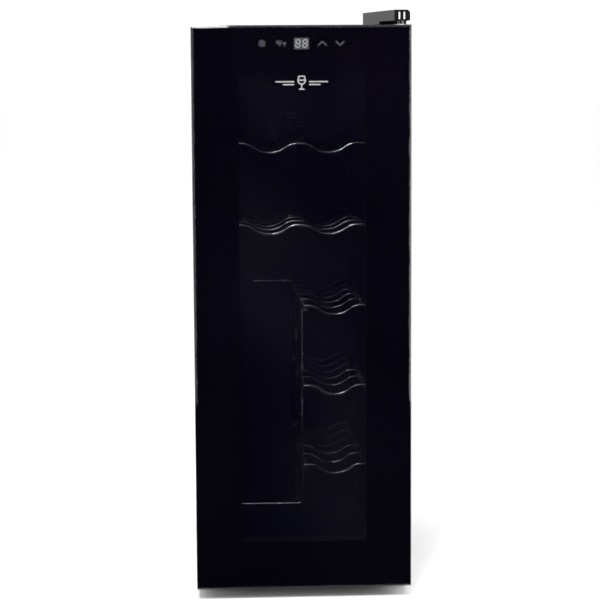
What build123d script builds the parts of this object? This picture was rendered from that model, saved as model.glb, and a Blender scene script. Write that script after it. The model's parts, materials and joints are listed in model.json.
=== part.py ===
from build123d import *
import os
from math import atan2, cos, degrees, radians, sin

# Slim free-standing wine cooler with a glass door.
# Frame: millimetres, +Z up, the front faces -Y, the floor is Z = 0,
# and the origin is the middle of the footprint.

# ------------------------------------------------------------------ driving sizes
width = 280.0              # cabinet and door
depth = 510.0              # front of the door glass to the back of the rear cover
door_height = 728.0
foot_height = 14.0
hinge_cover_rise = 20.5    # hinge cover above the cabinet top

sheet = 0.8                # painted steel panels
liner_wall = 2.0
side_wall = 48.0           # panel, foam and liner together
floor_wall = 50.0
top_wall = 46.0
back_wall = 35.0
rear_unit_depth = 55.0     # heat sink, fan and cover behind the cabinet
fit_gap = 0.05             # between a shaft and its hole
loose_gap = 0.3            # between pieces that only lie side by side

# Door
door_lift = 2.0            # door bottom above cabinet bottom
door_thickness = 40.0
outer_glass_thickness = 4.5
bevel_width = 3.4
bevel_depth = 1.2
print_gap = 0.15
print_thickness = 0.3
border_side = 59.0         # printed border beside, under and over the window
border_bottom = 61.5
border_top = 58.5
glass_seat = 8.0           # rebate that carries the sealed glass
inner_glass_thickness = 4.0
spacer_thickness = 12.0
frame_hidden = 2.0         # frame set back behind the edge of the print
frame_inset = 0.5          # frame behind the edge of the glass
gasket_gap = 8.0           # door back to cabinet front
gasket_width = 14.0
gasket_margin = 6.0        # gasket outside the mouth of the liner
gasket_base = 2.0
gasket_step = 2.0          # bellows narrower than the base on each side

# Finger recess in the free edge of the door
grip_height = 170.0
grip_reach = 16.0
grip_depth = 21.0
grip_centre = 380.0

# Hinges
hinge_from_side = 12.5
hinge_from_back = 21.0     # axis in front of the back face of the door
pin_radius = 4.0
pin_head = 1.5
pin_head_radius = 6.0
pin_end_gap = 1.0
bush_radius = 7.0
bush_length = 16.0
bush_flange_radius = 9.0
bush_flange = 1.0
hinge_plate = 3.0
hinge_arm_width = 14.0
hinge_arm_lift = 9.0       # upper arm above the cabinet top
hinge_pocket_height = 6.0
hinge_pocket_reach = 10.5
cover_wall = 2.0
cover_length = 100.0
cover_front_gap = 5.0      # cover nose behind the door glass
cover_nose_width = 20.0
cover_back_width = 53.0
cover_side_gap = 2.0
cover_slope = 1.2
cover_edge = 3.0           # bevel along the outer top edge
cover_corner = 3.0
cover_underside = 7.0      # nose underside above the cabinet top

# Shelves
shelf_count = 5
full_shelves = 2
top_space = 104.0          # ceiling to the top shelf
bottom_space = 100.0       # floor to the lowest shelf
shelf_front_gap = 25.0     # cabinet front to the first wire
front_bay = 74.0           # first wire to second wire
wave_wires = 5             # behind the front wire
front_wire_radius = 1.8
wave_wire_radius = 1.3
side_wire_radius = 2.0
weld = 0.4
wave_drop = 12.0
wave_crest_share = 0.4     # part of each slope taken by the crest arc
shelf_side_gap = 4.0
flat_end = 12.0
short_flat_end = 8.0
crest_half = 2.0
ledge_width = 8.0
ledge_thickness = 5.0

# Rack for standing bottles
rack_x = 2.0
rack_radius = 1.7
rack_tie_radius = 1.4      # wires that run front to back
rack_bend = 5.0
rack_loop_setback = 148.0  # guard rail to the loop over the bottle necks
rack_rise = 17.5           # loop above the top short shelf
rack_rail = 48.0
rack_top_width = 59.0
rack_strip = 6.4
rack_strip_thickness = 2.0

# Thermoelectric unit
unit_drop = 96.0           # ceiling of the liner to the unit axis
cold_plate_width = 90.0
cold_plate_height = 80.0
cold_plate_thickness = 4.0
cold_fin_height = 14.5
cold_fan_size = 60.0
cold_fan_thickness = 15.0
cold_cover_width = 116.0
cold_cover_height = 112.0
cold_cover_depth = 37.0
cold_cover_wall = 1.6
block_size = 40.0
module_thickness = 4.0
hot_plate_width = 120.0
hot_plate_height = 130.0
hot_plate_thickness = 6.0
hot_fin_height = 20.0
fin_thickness = 1.2
cold_fin_pitch = 5.0
hot_fin_pitch = 6.0
hot_fan_size = 92.0
hot_fan_thickness = 25.0
fan_gap = 1.0

# Rear cover and power supply
rear_cover_width = 224.0
rear_cover_top_gap = 26.0  # below the cabinet top
rear_cover_height = 386.0
rear_cover_wall = 1.6
rear_cover_flange = 10.0
board_width = 110.0
board_height = 96.0
board_thickness = 1.6
board_stand = 8.0
inlet_width = 27.0
inlet_height = 19.6
inlet_depth = 20.0
inlet_wall = 1.6

# ------------------------------------------------------------------ derived places
front = -depth / 2
back = depth / 2
half = width / 2
cabinet_bottom = foot_height
cabinet_top = cabinet_bottom + door_height
cabinet_front = front + door_thickness + gasket_gap
cabinet_back = back - rear_unit_depth
inner_half = half - sheet
foam_front = cabinet_front + liner_wall

cavity_half = half - side_wall
cavity_bottom = cabinet_bottom + floor_wall
cavity_top = cabinet_top - top_wall
cavity_back = cabinet_back - back_wall
cavity_middle = (cavity_bottom + cavity_top) / 2
cavity_height = cavity_top - cavity_bottom

door_bottom = cabinet_bottom + door_lift
door_top = door_bottom + door_height
door_middle = (door_bottom + door_top) / 2
door_back = front + door_thickness
print_front = front + outer_glass_thickness + print_gap
frame_front = print_front + print_thickness
window_width = width - 2 * border_side
window_height = door_height - border_bottom - border_top
window_middle = door_bottom + border_bottom + window_height / 2
opening_half = window_width / 2 + frame_hidden
opening_height = window_height + 2 * frame_hidden
glass_half = opening_half + glass_seat
glass_height = opening_height + 2 * glass_seat
inner_glass_front = frame_front + spacer_thickness
inner_glass_back = inner_glass_front + inner_glass_thickness
frame_half = half - frame_inset
frame_bottom = door_bottom + frame_inset
frame_top = door_top - frame_inset

hinge_x = half - hinge_from_side
hinge_y = door_back - hinge_from_back
pocket_top = frame_bottom + hinge_pocket_height

thermal_z = cavity_top - unit_drop
rear_cover_top = cabinet_top - rear_cover_top_gap
rear_cover_bottom = rear_cover_top - rear_cover_height

shelf_top = cavity_top - top_space
shelf_bottom = cavity_bottom + bottom_space
shelf_pitch = (shelf_top - shelf_bottom) / (shelf_count - 1)
shelf_levels = [shelf_top - index * shelf_pitch for index in range(shelf_count)]
shelf_half = cavity_half - shelf_side_gap
shelf_front = cabinet_front + shelf_front_gap + front_wire_radius
shelf_back = cavity_back - cold_cover_depth - 3 * wave_wire_radius / 2 - loose_gap
wave_start = shelf_front + front_bay
wave_step = (shelf_back - wave_start) / (wave_wires - 1)
side_wire_drop = wave_wire_radius + side_wire_radius - weld
ledge_drop = side_wire_drop + side_wire_radius + loose_gap
half_shelf_left = rack_x + rack_radius + loose_gap

os.makedirs("parts", exist_ok=True)


def facing(y):
    """Sketch plane at depth y: sketch X is X, sketch Y is Z, its normal is -Y."""
    return Plane.XZ.offset(-y)


def save(piece, name):
    piece.part.label = name
    export_step(piece.part, f"parts/{name}.step")


def slab(x0, x1, y0, y1, z0, z1, mode=Mode.ADD):
    """A block between two corners."""
    with Locations(((x0 + x1) / 2, (y0 + y1) / 2, (z0 + z1) / 2)):
        Box(x1 - x0, y1 - y0, z1 - z0, mode=mode)


def rod_y(x, z, y0, y1, radius, mode=Mode.ADD):
    """A round bar along Y."""
    with Locations(Location((x, (y0 + y1) / 2, z), (90, 0, 0))):
        Cylinder(radius, y1 - y0, mode=mode)


def rod_z(x, y, z0, z1, radius, mode=Mode.ADD):
    """A round bar along Z."""
    with Locations((x, y, (z0 + z1) / 2)):
        Cylinder(radius, z1 - z0, mode=mode)


# ------------------------------------------------------------------ screw places
screw_radius = 2.4
screw_hole_radius = 2.6
screw_head_radius = 4.4
screw_head = 2.0
screw_length = 12.0
screw_end_gap = 1.0        # free depth below a screw

plate_left = hinge_x - 18
plate_right = hinge_x + 8
plate_front = cabinet_front + 10
plate_back = cabinet_front + 52
plate_screw_inset = 7.0
plate_screw_margin = 10.0
upper_screws = [
    (plate_left + plate_screw_inset, plate_front + plate_screw_margin),
    (plate_left + plate_screw_inset, plate_back - plate_screw_margin),
    (plate_right - plate_screw_inset, (plate_front + plate_back) / 2),
]

leaf_thickness = 2.5
leaf_left = hinge_x - 32
leaf_right = hinge_x + 10
leaf_bottom = frame_bottom + 1
leaf_top = frame_bottom + 24
leaf_front = cabinet_front - leaf_thickness
leaf_screw_inset = 8.0
leaf_screw_pitch = 14.0
lower_screws = [
    (leaf_left + leaf_screw_inset, (leaf_bottom + leaf_top) / 2),
    (leaf_left + leaf_screw_inset + leaf_screw_pitch, (leaf_bottom + leaf_top) / 2),
]

rear_screw_margin = 20.0
flange_half = (rear_cover_width + rear_cover_flange) / 2
rear_screws = [
    (side * flange_half, z)
    for side in (-1, 1)
    for z in (
        rear_cover_bottom + rear_screw_margin,
        (rear_cover_bottom + rear_cover_top) / 2,
        rear_cover_top - rear_screw_margin,
    )
]

# ------------------------------------------------------------------ feet places
foot_x = half - 30
front_foot_y = cabinet_front + 37
rear_foot_y = cabinet_back - 30
foot_pad_radius = 15.0
foot_pad_height = 9.0
foot_pad_round = 3.0
stud_radius = 4.0
stud_height = 34.0
socket_radius = 9.0
socket_height = 22.0
rear_foot_radius = 13.0
rear_foot_bevel = 1.5
rear_peg_radius = 4.0
rear_peg = 8.0

# ------------------------------------------------------------------ hole for the thermoelectric block
block_hole = block_size + 4


def cut_block_hole(y0, y1):
    """The square hole behind the cold side, through one layer of the back wall."""
    slab(-block_hole / 2, block_hole / 2, y0, y1,
         thermal_z - block_hole / 2, thermal_z + block_hole / 2, Mode.SUBTRACT)


def cut_screw_holes(places, y0, y1):
    """Round holes along Y at (x, z) places."""
    for x, z in places:
        rod_y(x, z, y0, y1, screw_hole_radius, Mode.SUBTRACT)


# ------------------------------------------------------------------ cabinet panels
for side, name in ((-1, "left_side_panel"), (1, "right_side_panel")):
    with BuildPart() as side_panel:
        edges_x = sorted((side * half, side * inner_half))
        slab(edges_x[0], edges_x[1], cabinet_front, cabinet_back, cabinet_bottom, cabinet_top)
    save(side_panel, name)

with BuildPart() as top_panel:
    slab(-inner_half, inner_half, cabinet_front, cabinet_back, cabinet_top - sheet, cabinet_top)
    with Locations(Plane.XY.offset(cabinet_top)):
        with Locations(*upper_screws):
            Hole(screw_hole_radius)
save(top_panel, "top_panel")

with BuildPart() as bottom_plate:
    slab(-inner_half, inner_half, cabinet_front, cabinet_back, cabinet_bottom, cabinet_bottom + sheet)
    for x in (-foot_x, foot_x):
        rod_z(x, front_foot_y, cabinet_bottom, cabinet_bottom + sheet, socket_radius + fit_gap,
              Mode.SUBTRACT)
        rod_z(x, rear_foot_y, cabinet_bottom, cabinet_bottom + sheet, rear_peg_radius + fit_gap,
              Mode.SUBTRACT)
save(bottom_plate, "bottom_plate")

with BuildPart() as back_panel:
    slab(-inner_half, inner_half, cabinet_back - sheet, cabinet_back,
         cabinet_bottom + sheet, cabinet_top - sheet)
    cut_block_hole(cabinet_back - sheet, cabinet_back)
    cut_screw_holes(rear_screws, cabinet_back - sheet, cabinet_back)
save(back_panel, "back_panel")

with BuildPart() as insulation_foam:
    slab(-inner_half, inner_half, foam_front, cabinet_back - sheet,
         cabinet_bottom + sheet, cabinet_top - sheet)
    slab(-cavity_half - liner_wall, cavity_half + liner_wall, foam_front, cavity_back + liner_wall,
         cavity_bottom - liner_wall, cavity_top + liner_wall, Mode.SUBTRACT)
    cut_block_hole(cavity_back, cabinet_back)
    for x in (-foot_x, foot_x):
        rod_z(x, front_foot_y, cabinet_bottom, cabinet_bottom + socket_height + loose_gap,
              socket_radius + fit_gap, Mode.SUBTRACT)
        rod_z(x, rear_foot_y, cabinet_bottom, cabinet_bottom + rear_peg + loose_gap,
              rear_peg_radius + fit_gap, Mode.SUBTRACT)
    for x, y in upper_screws:
        rod_z(x, y, cabinet_top - screw_length, cabinet_top, screw_hole_radius, Mode.SUBTRACT)
    cut_screw_holes(lower_screws, foam_front, cabinet_front + screw_length)
    cut_screw_holes(rear_screws, cabinet_back - screw_length, cabinet_back)
save(insulation_foam, "insulation_foam")


# Vacuum-formed liner: a front flange, a five-sided tub and moulded shelf ledges
def ledge(side, top):
    edges_x = sorted((side * (cavity_half - ledge_width), side * cavity_half))
    slab(edges_x[0], edges_x[1], shelf_front, shelf_back, top - ledge_thickness, top)


with BuildPart() as inner_liner:
    slab(-inner_half, inner_half, cabinet_front, foam_front, cabinet_bottom + sheet, cabinet_top - sheet)
    slab(-cavity_half - liner_wall, cavity_half + liner_wall, foam_front, cavity_back + liner_wall,
         cavity_bottom - liner_wall, cavity_top + liner_wall)
    slab(-cavity_half, cavity_half, cabinet_front, cavity_back, cavity_bottom, cavity_top, Mode.SUBTRACT)
    cut_block_hole(cavity_back, cavity_back + liner_wall)
    cut_screw_holes(lower_screws, cabinet_front, foam_front)
    for index, level in enumerate(shelf_levels):
        ledge(1, level - ledge_drop)
        if index < full_shelves:
            ledge(-1, level - ledge_drop)
    ledge(-1, cavity_bottom + rack_rail - rack_radius)
save(inner_liner, "inner_liner")

# ------------------------------------------------------------------ feet
for x, name in ((-foot_x, "front_foot_left"), (foot_x, "front_foot_right")):
    with BuildPart() as levelling_foot:
        rod_z(x, front_foot_y, 0, foot_pad_height, foot_pad_radius)
        fillet(levelling_foot.edges().filter_by(GeomType.CIRCLE).sort_by(Axis.Z)[-1], foot_pad_round)
        rod_z(x, front_foot_y, foot_pad_height, stud_height, stud_radius)
    save(levelling_foot, name)

with BuildPart() as foot_sockets:
    for x in (-foot_x, foot_x):
        rod_z(x, front_foot_y, cabinet_bottom, cabinet_bottom + socket_height, socket_radius)
        rod_z(x, front_foot_y, cabinet_bottom, cabinet_bottom + socket_height, stud_radius + fit_gap,
              Mode.SUBTRACT)
save(foot_sockets, "foot_sockets")

for x, name in ((-foot_x, "rear_foot_left"), (foot_x, "rear_foot_right")):
    with BuildPart() as rear_foot:
        rod_z(x, rear_foot_y, 0, foot_height, rear_foot_radius)
        chamfer(rear_foot.edges().filter_by(GeomType.CIRCLE).sort_by(Axis.Z)[0], rear_foot_bevel)
        rod_z(x, rear_foot_y, foot_height, foot_height + rear_peg, rear_peg_radius)
    save(rear_foot, name)

# ------------------------------------------------------------------ door glass
with BuildPart() as door_glass:
    with BuildSketch(facing(front + bevel_depth)):
        with Locations((0, door_middle)):
            Rectangle(width, door_height)
    extrude(amount=bevel_depth, taper=degrees(atan2(bevel_width, bevel_depth)))
    slab(-half, half, front + bevel_depth, front + outer_glass_thickness, door_bottom, door_top)
save(door_glass, "door_glass")

icon_z = door_top - 23.4
display_width = 19.6
display_height = 15.0
with BuildPart() as printed_border:
    with BuildSketch(facing(print_front)):
        with Locations((0, door_middle)):
            Rectangle(width - 2 * frame_inset, door_height - 2 * frame_inset)
        with Locations((0, window_middle)):
            Rectangle(window_width, window_height, mode=Mode.SUBTRACT)
        with Locations((0, icon_z)):
            Rectangle(display_width, display_height, mode=Mode.SUBTRACT)
    extrude(amount=-print_thickness)
save(printed_border, "printed_border")

with BuildPart() as glass_spacer:
    with BuildSketch(facing(frame_front)):
        with Locations((0, window_middle)):
            Rectangle(2 * (glass_half - loose_gap), glass_height - 2 * loose_gap)
            Rectangle(2 * opening_half, opening_height, mode=Mode.SUBTRACT)
    extrude(amount=-spacer_thickness)
save(glass_spacer, "glass_spacer")

with BuildPart() as inner_glass:
    slab(-glass_half + loose_gap, glass_half - loose_gap, inner_glass_front, inner_glass_back,
         window_middle - glass_height / 2 + loose_gap, window_middle + glass_height / 2 - loose_gap)
save(inner_glass, "inner_glass")

# ------------------------------------------------------------------ door frame
with BuildPart() as left_stile:
    slab(-frame_half, -glass_half, frame_front, door_back, frame_bottom, frame_top)
    slab(-glass_half, -opening_half, inner_glass_back, door_back, frame_bottom, frame_top)
    slab(-frame_half, -frame_half + grip_reach, door_back - grip_depth, door_back,
         grip_centre - grip_height / 2, grip_centre + grip_height / 2, Mode.SUBTRACT)
save(left_stile, "door_stile_left")

with BuildPart() as right_stile:
    slab(glass_half, frame_half, frame_front, door_back, frame_bottom, frame_top)
    slab(opening_half, glass_half, inner_glass_back, door_back, frame_bottom, frame_top)
    slab(hinge_x - hinge_arm_width, frame_half, hinge_y - hinge_pocket_reach, door_back,
         frame_bottom, pocket_top, Mode.SUBTRACT)
    rod_z(hinge_x, hinge_y, pocket_top, pocket_top + bush_length + loose_gap, bush_radius + fit_gap,
          Mode.SUBTRACT)
    rod_z(hinge_x, hinge_y, frame_top - bush_length - loose_gap, frame_top, bush_radius + fit_gap,
          Mode.SUBTRACT)
save(right_stile, "door_stile_right")

board_half = 64.0
board_half_height = 12.0
board_pocket_half = board_half + 2
board_pocket_height = 30.0
board_pocket_depth = 8.0
top_glass_edge = window_middle + glass_height / 2
bottom_glass_edge = window_middle - glass_height / 2
top_opening_edge = window_middle + opening_height / 2
bottom_opening_edge = window_middle - opening_height / 2
with BuildPart() as top_rail:
    slab(-glass_half, glass_half, frame_front, inner_glass_back, top_glass_edge, frame_top)
    slab(-opening_half, opening_half, inner_glass_back, door_back, top_opening_edge, frame_top)
    slab(-board_pocket_half, board_pocket_half, frame_front, frame_front + board_pocket_depth,
         icon_z - board_pocket_height / 2, icon_z + board_pocket_height / 2, Mode.SUBTRACT)
save(top_rail, "door_rail_top")

with BuildPart() as bottom_rail:
    slab(-glass_half, glass_half, frame_front, inner_glass_back, frame_bottom, bottom_glass_edge)
    slab(-opening_half, opening_half, inner_glass_back, door_back, frame_bottom, bottom_opening_edge)
save(bottom_rail, "door_rail_bottom")

# Gasket: a wide base on the door and a narrower bellows towards the cabinet
gasket_inner = (2 * (cavity_half + gasket_margin), cavity_height + 2 * gasket_margin)
gasket_outer = (gasket_inner[0] + 2 * gasket_width, gasket_inner[1] + 2 * gasket_width)
with BuildPart() as door_gasket:
    with BuildSketch(facing(door_back)):
        with Locations((0, cavity_middle)):
            Rectangle(gasket_outer[0], gasket_outer[1])
            Rectangle(gasket_inner[0], gasket_inner[1], mode=Mode.SUBTRACT)
    extrude(amount=-gasket_base)
    with BuildSketch(facing(door_back + gasket_base)):
        with Locations((0, cavity_middle)):
            Rectangle(gasket_outer[0] - 2 * gasket_step, gasket_outer[1] - 2 * gasket_step)
            Rectangle(gasket_inner[0] + 2 * gasket_step, gasket_inner[1] + 2 * gasket_step,
                      mode=Mode.SUBTRACT)
    extrude(amount=-(gasket_gap - gasket_base - loose_gap))
save(door_gasket, "door_gasket")

# ------------------------------------------------------------------ door electronics
board_back = frame_front + board_pocket_depth
board_front = board_back - board_thickness
icon_pitch = 25.0
touch_pad_radius = 5.0
display_rim = 1.0          # display body outside its printed window
with BuildPart() as control_board:
    slab(-board_half, board_half, board_front, board_back,
         icon_z - board_half_height, icon_z + board_half_height)
save(control_board, "control_board")

with BuildPart() as digit_display:
    slab(-display_width / 2 - display_rim, display_width / 2 + display_rim, frame_front, board_front,
         icon_z - display_height / 2 - display_rim, icon_z + display_height / 2 + display_rim)
save(digit_display, "digit_display")

with BuildPart() as touch_pads:
    for step in (-2, -1, 1, 2):
        rod_y(step * icon_pitch, icon_z, frame_front, board_front, touch_pad_radius)
save(touch_pads, "touch_pads")

# ------------------------------------------------------------------ hinges
for name, low, flange_low in (
    ("upper_hinge_bush", frame_top - bush_length, frame_top),
    ("lower_hinge_bush", pocket_top, pocket_top - bush_flange),
):
    with BuildPart() as hinge_bush:
        rod_z(hinge_x, hinge_y, low, low + bush_length, bush_radius)
        rod_z(hinge_x, hinge_y, flange_low, flange_low + bush_flange, bush_flange_radius)
        rod_z(hinge_x, hinge_y, low - bush_flange, low + bush_length + bush_flange,
              pin_radius + fit_gap, Mode.SUBTRACT)
    save(hinge_bush, name)

arm_top = cabinet_top + hinge_arm_lift + hinge_plate
with BuildPart() as upper_hinge_bracket:
    slab(plate_left, plate_right, plate_front, plate_back, cabinet_top, cabinet_top + hinge_plate)
    slab(plate_left, plate_right, plate_front - hinge_plate, plate_front, cabinet_top, arm_top)
    slab(hinge_x - hinge_arm_width / 2, hinge_x + hinge_arm_width / 2, hinge_y, plate_front,
         arm_top - hinge_plate, arm_top)
    rod_z(hinge_x, hinge_y, arm_top - hinge_plate, arm_top, hinge_arm_width / 2)
    rod_z(hinge_x, hinge_y, arm_top - hinge_plate, arm_top, pin_radius + fit_gap, Mode.SUBTRACT)
    for x, y in upper_screws:
        rod_z(x, y, cabinet_top, cabinet_top + hinge_plate, screw_hole_radius, Mode.SUBTRACT)
save(upper_hinge_bracket, "upper_hinge_bracket")

with BuildPart() as upper_hinge_pin:
    rod_z(hinge_x, hinge_y, frame_top - bush_length + pin_end_gap, arm_top, pin_radius)
    rod_z(hinge_x, hinge_y, arm_top, arm_top + pin_head, pin_head_radius)
save(upper_hinge_pin, "upper_hinge_pin")

lower_arm_top = pocket_top - bush_flange - loose_gap
with BuildPart() as lower_hinge_bracket:
    slab(leaf_left, leaf_right, leaf_front, cabinet_front, leaf_bottom, leaf_top)
    slab(hinge_x - hinge_arm_width / 2, hinge_x + hinge_arm_width / 2, hinge_y, leaf_front,
         lower_arm_top - hinge_plate, lower_arm_top)
    rod_z(hinge_x, hinge_y, lower_arm_top - hinge_plate, lower_arm_top, hinge_arm_width / 2)
    rod_z(hinge_x, hinge_y, lower_arm_top - hinge_plate, lower_arm_top, pin_radius + fit_gap, Mode.SUBTRACT)
    cut_screw_holes(lower_screws, leaf_front, cabinet_front)
save(lower_hinge_bracket, "lower_hinge_bracket")

with BuildPart() as lower_hinge_pin:
    rod_z(hinge_x, hinge_y, lower_arm_top - hinge_plate, pocket_top + bush_length - pin_end_gap,
          pin_radius)
save(lower_hinge_pin, "lower_hinge_pin")

with BuildPart() as hinge_screws:
    for x, y in upper_screws:
        rod_z(x, y, cabinet_top - screw_length + screw_end_gap, cabinet_top + hinge_plate, screw_radius)
        rod_z(x, y, cabinet_top + hinge_plate, cabinet_top + hinge_plate + screw_head, screw_head_radius)
    for x, z in lower_screws:
        rod_y(x, z, leaf_front, cabinet_front + screw_length - screw_end_gap, screw_radius)
        rod_y(x, z, leaf_front - screw_head, leaf_front, screw_head_radius)
save(hinge_screws, "hinge_screws")

# Hinge cover: narrow at the nose, wider over the bracket, lower at the back
cover_front = front + cover_front_gap
cover_back = cover_front + cover_length
cover_right = half - cover_side_gap
cover_top = cabinet_top + hinge_cover_rise
cover_step = cabinet_front + 2.5    # from here back the cover reaches the cabinet top


def cover_block(inset, top_inset, underside):
    """The cover's outline pulled in by inset; the nose starts at underside."""
    with BuildPart(mode=Mode.PRIVATE) as block:
        with BuildSketch(Plane.XY.offset(cabinet_top)):
            with BuildLine():
                Polyline(
                    (cover_right - cover_nose_width + inset, cover_front + inset),
                    (cover_right - inset, cover_front + inset),
                    (cover_right - inset, cover_back - inset),
                    (cover_right - cover_back_width + inset, cover_back - inset),
                    close=True,
                )
            make_face()
        extrude(amount=hinge_cover_rise)
        fillet(block.edges().filter_by(Axis.Z).sort_by(Axis.X)[0], cover_corner)
        with BuildSketch(Plane.YZ):
            with BuildLine():
                Polyline(
                    (cover_front, underside),
                    (cover_front, cover_top - top_inset),
                    (cover_back, cover_top - cover_slope - top_inset),
                    (cover_back, cabinet_top),
                    (cover_step + inset, cabinet_top),
                    (cover_step + inset, underside),
                    close=True,
                )
            make_face()
        extrude(amount=width, mode=Mode.INTERSECT)
        with BuildSketch(facing(cover_back)):
            with BuildLine():
                Polyline(
                    (cover_right - inset - cover_edge, cover_top - top_inset),
                    (cover_right - inset, cover_top - top_inset),
                    (cover_right - inset, cover_top - top_inset - cover_edge),
                    close=True,
                )
            make_face()
        extrude(amount=cover_length, mode=Mode.SUBTRACT)
    return block.part


cover_cavity = cover_block(cover_wall, cover_wall, cabinet_top + cover_underside)
cover_shell = cover_block(0, 0, cabinet_top + cover_underside)
with BuildPart() as hinge_cover:
    add(cover_shell)
    add(cover_cavity, mode=Mode.SUBTRACT)
save(hinge_cover, "hinge_cover")


# ------------------------------------------------------------------ shelves
def sweep_wire(route, radius):
    """A round wire along a path."""
    with BuildSketch(Plane(origin=route @ 0, z_dir=route % 0)) as section:
        Circle(radius)
    sweep(section.sketch, path=route)


def s_bend(start, end):
    """Two tangent arcs between level ends; they meet on the chord."""
    share = wave_crest_share if start[1] > end[1] else 1 - wave_crest_share
    rise = end[1] - start[1]
    run = end[0] - start[0]
    join = (start[0] + share * run, start[1] + share * rise)
    slope = 2 * atan2(rise, run)
    TangentArc(start, join, tangent=(1, 0))
    TangentArc(join, end, tangent=(cos(slope), sin(slope)))


def wave_wire(y, level, crests, radius):
    """One formed wire: flat at both ends and dipping between neighbouring crests."""
    with BuildLine() as path:
        Line((crests[0][0], level), (crests[0][1], level))
        for left, right in zip(crests, crests[1:]):
            low = ((left[1] + right[0]) / 2, level - wave_drop)
            s_bend((left[1], level), low)
            s_bend(low, (right[0], level))
            Line((right[0], level), (right[1], level))
    sweep_wire(facing(y).from_local_coords(path.wire()), radius)


def make_shelf(level, crests):
    with BuildPart() as shelf:
        wave_wire(shelf_front, level, crests, front_wire_radius)
        for index in range(wave_wires):
            wave_wire(wave_start + index * wave_step, level, crests, wave_wire_radius)
        for x in (crests[0][0] + side_wire_radius, crests[-1][1] - side_wire_radius):
            rod_y(x, level - side_wire_drop, shelf_front - front_wire_radius,
                  shelf_back + wave_wire_radius, side_wire_radius)
    return shelf


full_crests = [
    (-shelf_half, -shelf_half + flat_end),
    (-crest_half, crest_half),
    (shelf_half - flat_end, shelf_half),
]
half_crests = [
    (half_shelf_left, half_shelf_left + short_flat_end),
    (shelf_half - short_flat_end, shelf_half),
]
for index, level in enumerate(shelf_levels):
    shelf = make_shelf(level, full_crests if index < full_shelves else half_crests)
    save(shelf, f"shelf_{index + 1}")

# ------------------------------------------------------------------ standing bottle rack
rack_front = shelf_front
rack_back = shelf_back
rack_loop = rack_front + rack_loop_setback
rack_top_z = shelf_levels[full_shelves] + rack_rise
rack_rail_z = cavity_bottom + rack_rail
rack_left = -cavity_half + 1
rack_top_left = rack_x - rack_top_width
strip_left = rack_x + rack_radius - weld
strip_tops = [level - ledge_drop for level in shelf_levels[full_shelves:]]


def bent_wire(y, corners):
    """One rack wire with rounded corners, upright in the plane at depth y."""
    with BuildLine() as path:
        FilletPolyline(*corners, radius=rack_bend)
    sweep_wire(facing(y).from_local_coords(path.wire()), rack_radius)


with BuildPart() as bottle_rack:
    # Guard rail from the left wall, turned up along the short shelves
    bent_wire(rack_front, ((rack_left, rack_rail_z), (rack_x, rack_rail_z), (rack_x, strip_tops[0])))
    # Loop over the bottle necks, with its tie and the rear upright
    bent_wire(rack_loop, ((rack_x, cavity_bottom), (rack_x, rack_top_z), (rack_top_left, rack_top_z)))
    rod_y(rack_top_left, rack_top_z, rack_loop, rack_back, rack_tie_radius)
    bent_wire(rack_back, ((rack_x, cavity_bottom), (rack_x, rack_top_z), (rack_top_left, rack_top_z)))
    for top in strip_tops:
        slab(strip_left, strip_left + rack_strip, rack_front, rack_back, top - rack_strip_thickness, top)
save(bottle_rack, "bottle_rack")


# ------------------------------------------------------------------ fans
fan_rim = 2.0              # frame outside the fan's round opening
fan_corner = 3.0
fan_hub_share = 0.21       # hub radius over fan size
fan_hole_share = 0.9       # screw hole spacing over fan size
fan_hole_radius = 2.2
fan_strut = 2.5
fan_strut_width = 3.0
fan_shaft_radius = 1.5
fan_shaft_front = 3.0      # shaft end behind the front of the frame
fan_end_gap = 1.0
fan_blades = 7
fan_blade_angle = 35.0
fan_blade_thickness = 1.4
fan_blade_stretch = 1.1    # slanted blade over its depth
fan_blade_root = 1.0       # blade buried in the hub
fan_tip_gap = 1.5


def make_fan(label, size, thickness, y0):
    """Square-framed axial fan on the unit axis: a frame with its shaft, and a rotor."""
    ring = size / 2 - fan_rim
    hub = size * fan_hub_share
    strut_front = y0 + thickness - fan_strut
    with BuildPart() as fan_frame:
        with BuildSketch(facing(y0)):
            with Locations((0, thermal_z)):
                RectangleRounded(size, size, fan_corner)
                Circle(ring, mode=Mode.SUBTRACT)
                with GridLocations(size * fan_hole_share, size * fan_hole_share, 2, 2):
                    Circle(fan_hole_radius, mode=Mode.SUBTRACT)
        extrude(amount=-thickness)
        with BuildSketch(facing(strut_front)):
            with Locations((0, thermal_z)):
                Circle(hub)
                with PolarLocations(0, 2, start_angle=45):
                    Rectangle(2 * ring + fan_rim, fan_strut_width)
        extrude(amount=-fan_strut)
        rod_y(0, thermal_z, y0 + fan_shaft_front, strut_front, fan_shaft_radius)
    save(fan_frame, f"{label}_fan_frame")

    rotor_front = y0 + fan_end_gap
    rotor_back = strut_front - fan_end_gap
    blade = (rotor_back - rotor_front - 2 * fan_end_gap) * fan_blade_stretch
    with BuildPart() as fan_rotor:
        rod_y(0, thermal_z, rotor_front, rotor_back, hub)
        for turn in range(fan_blades):
            angle = radians(turn * 360 / fan_blades)
            out = Vector(cos(angle), 0, sin(angle))
            root = Vector(0, (rotor_front + rotor_back) / 2, thermal_z) + out * (hub - fan_blade_root)
            with BuildSketch(Plane(origin=root, x_dir=(0, 1, 0), z_dir=out)):
                SlotOverall(blade, fan_blade_thickness, rotation=fan_blade_angle)
            extrude(amount=ring - hub + fan_blade_root - fan_tip_gap)
        rod_y(0, thermal_z, rotor_front, rotor_back, fan_shaft_radius + fit_gap, Mode.SUBTRACT)
    save(fan_rotor, f"{label}_fan_rotor")


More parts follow.
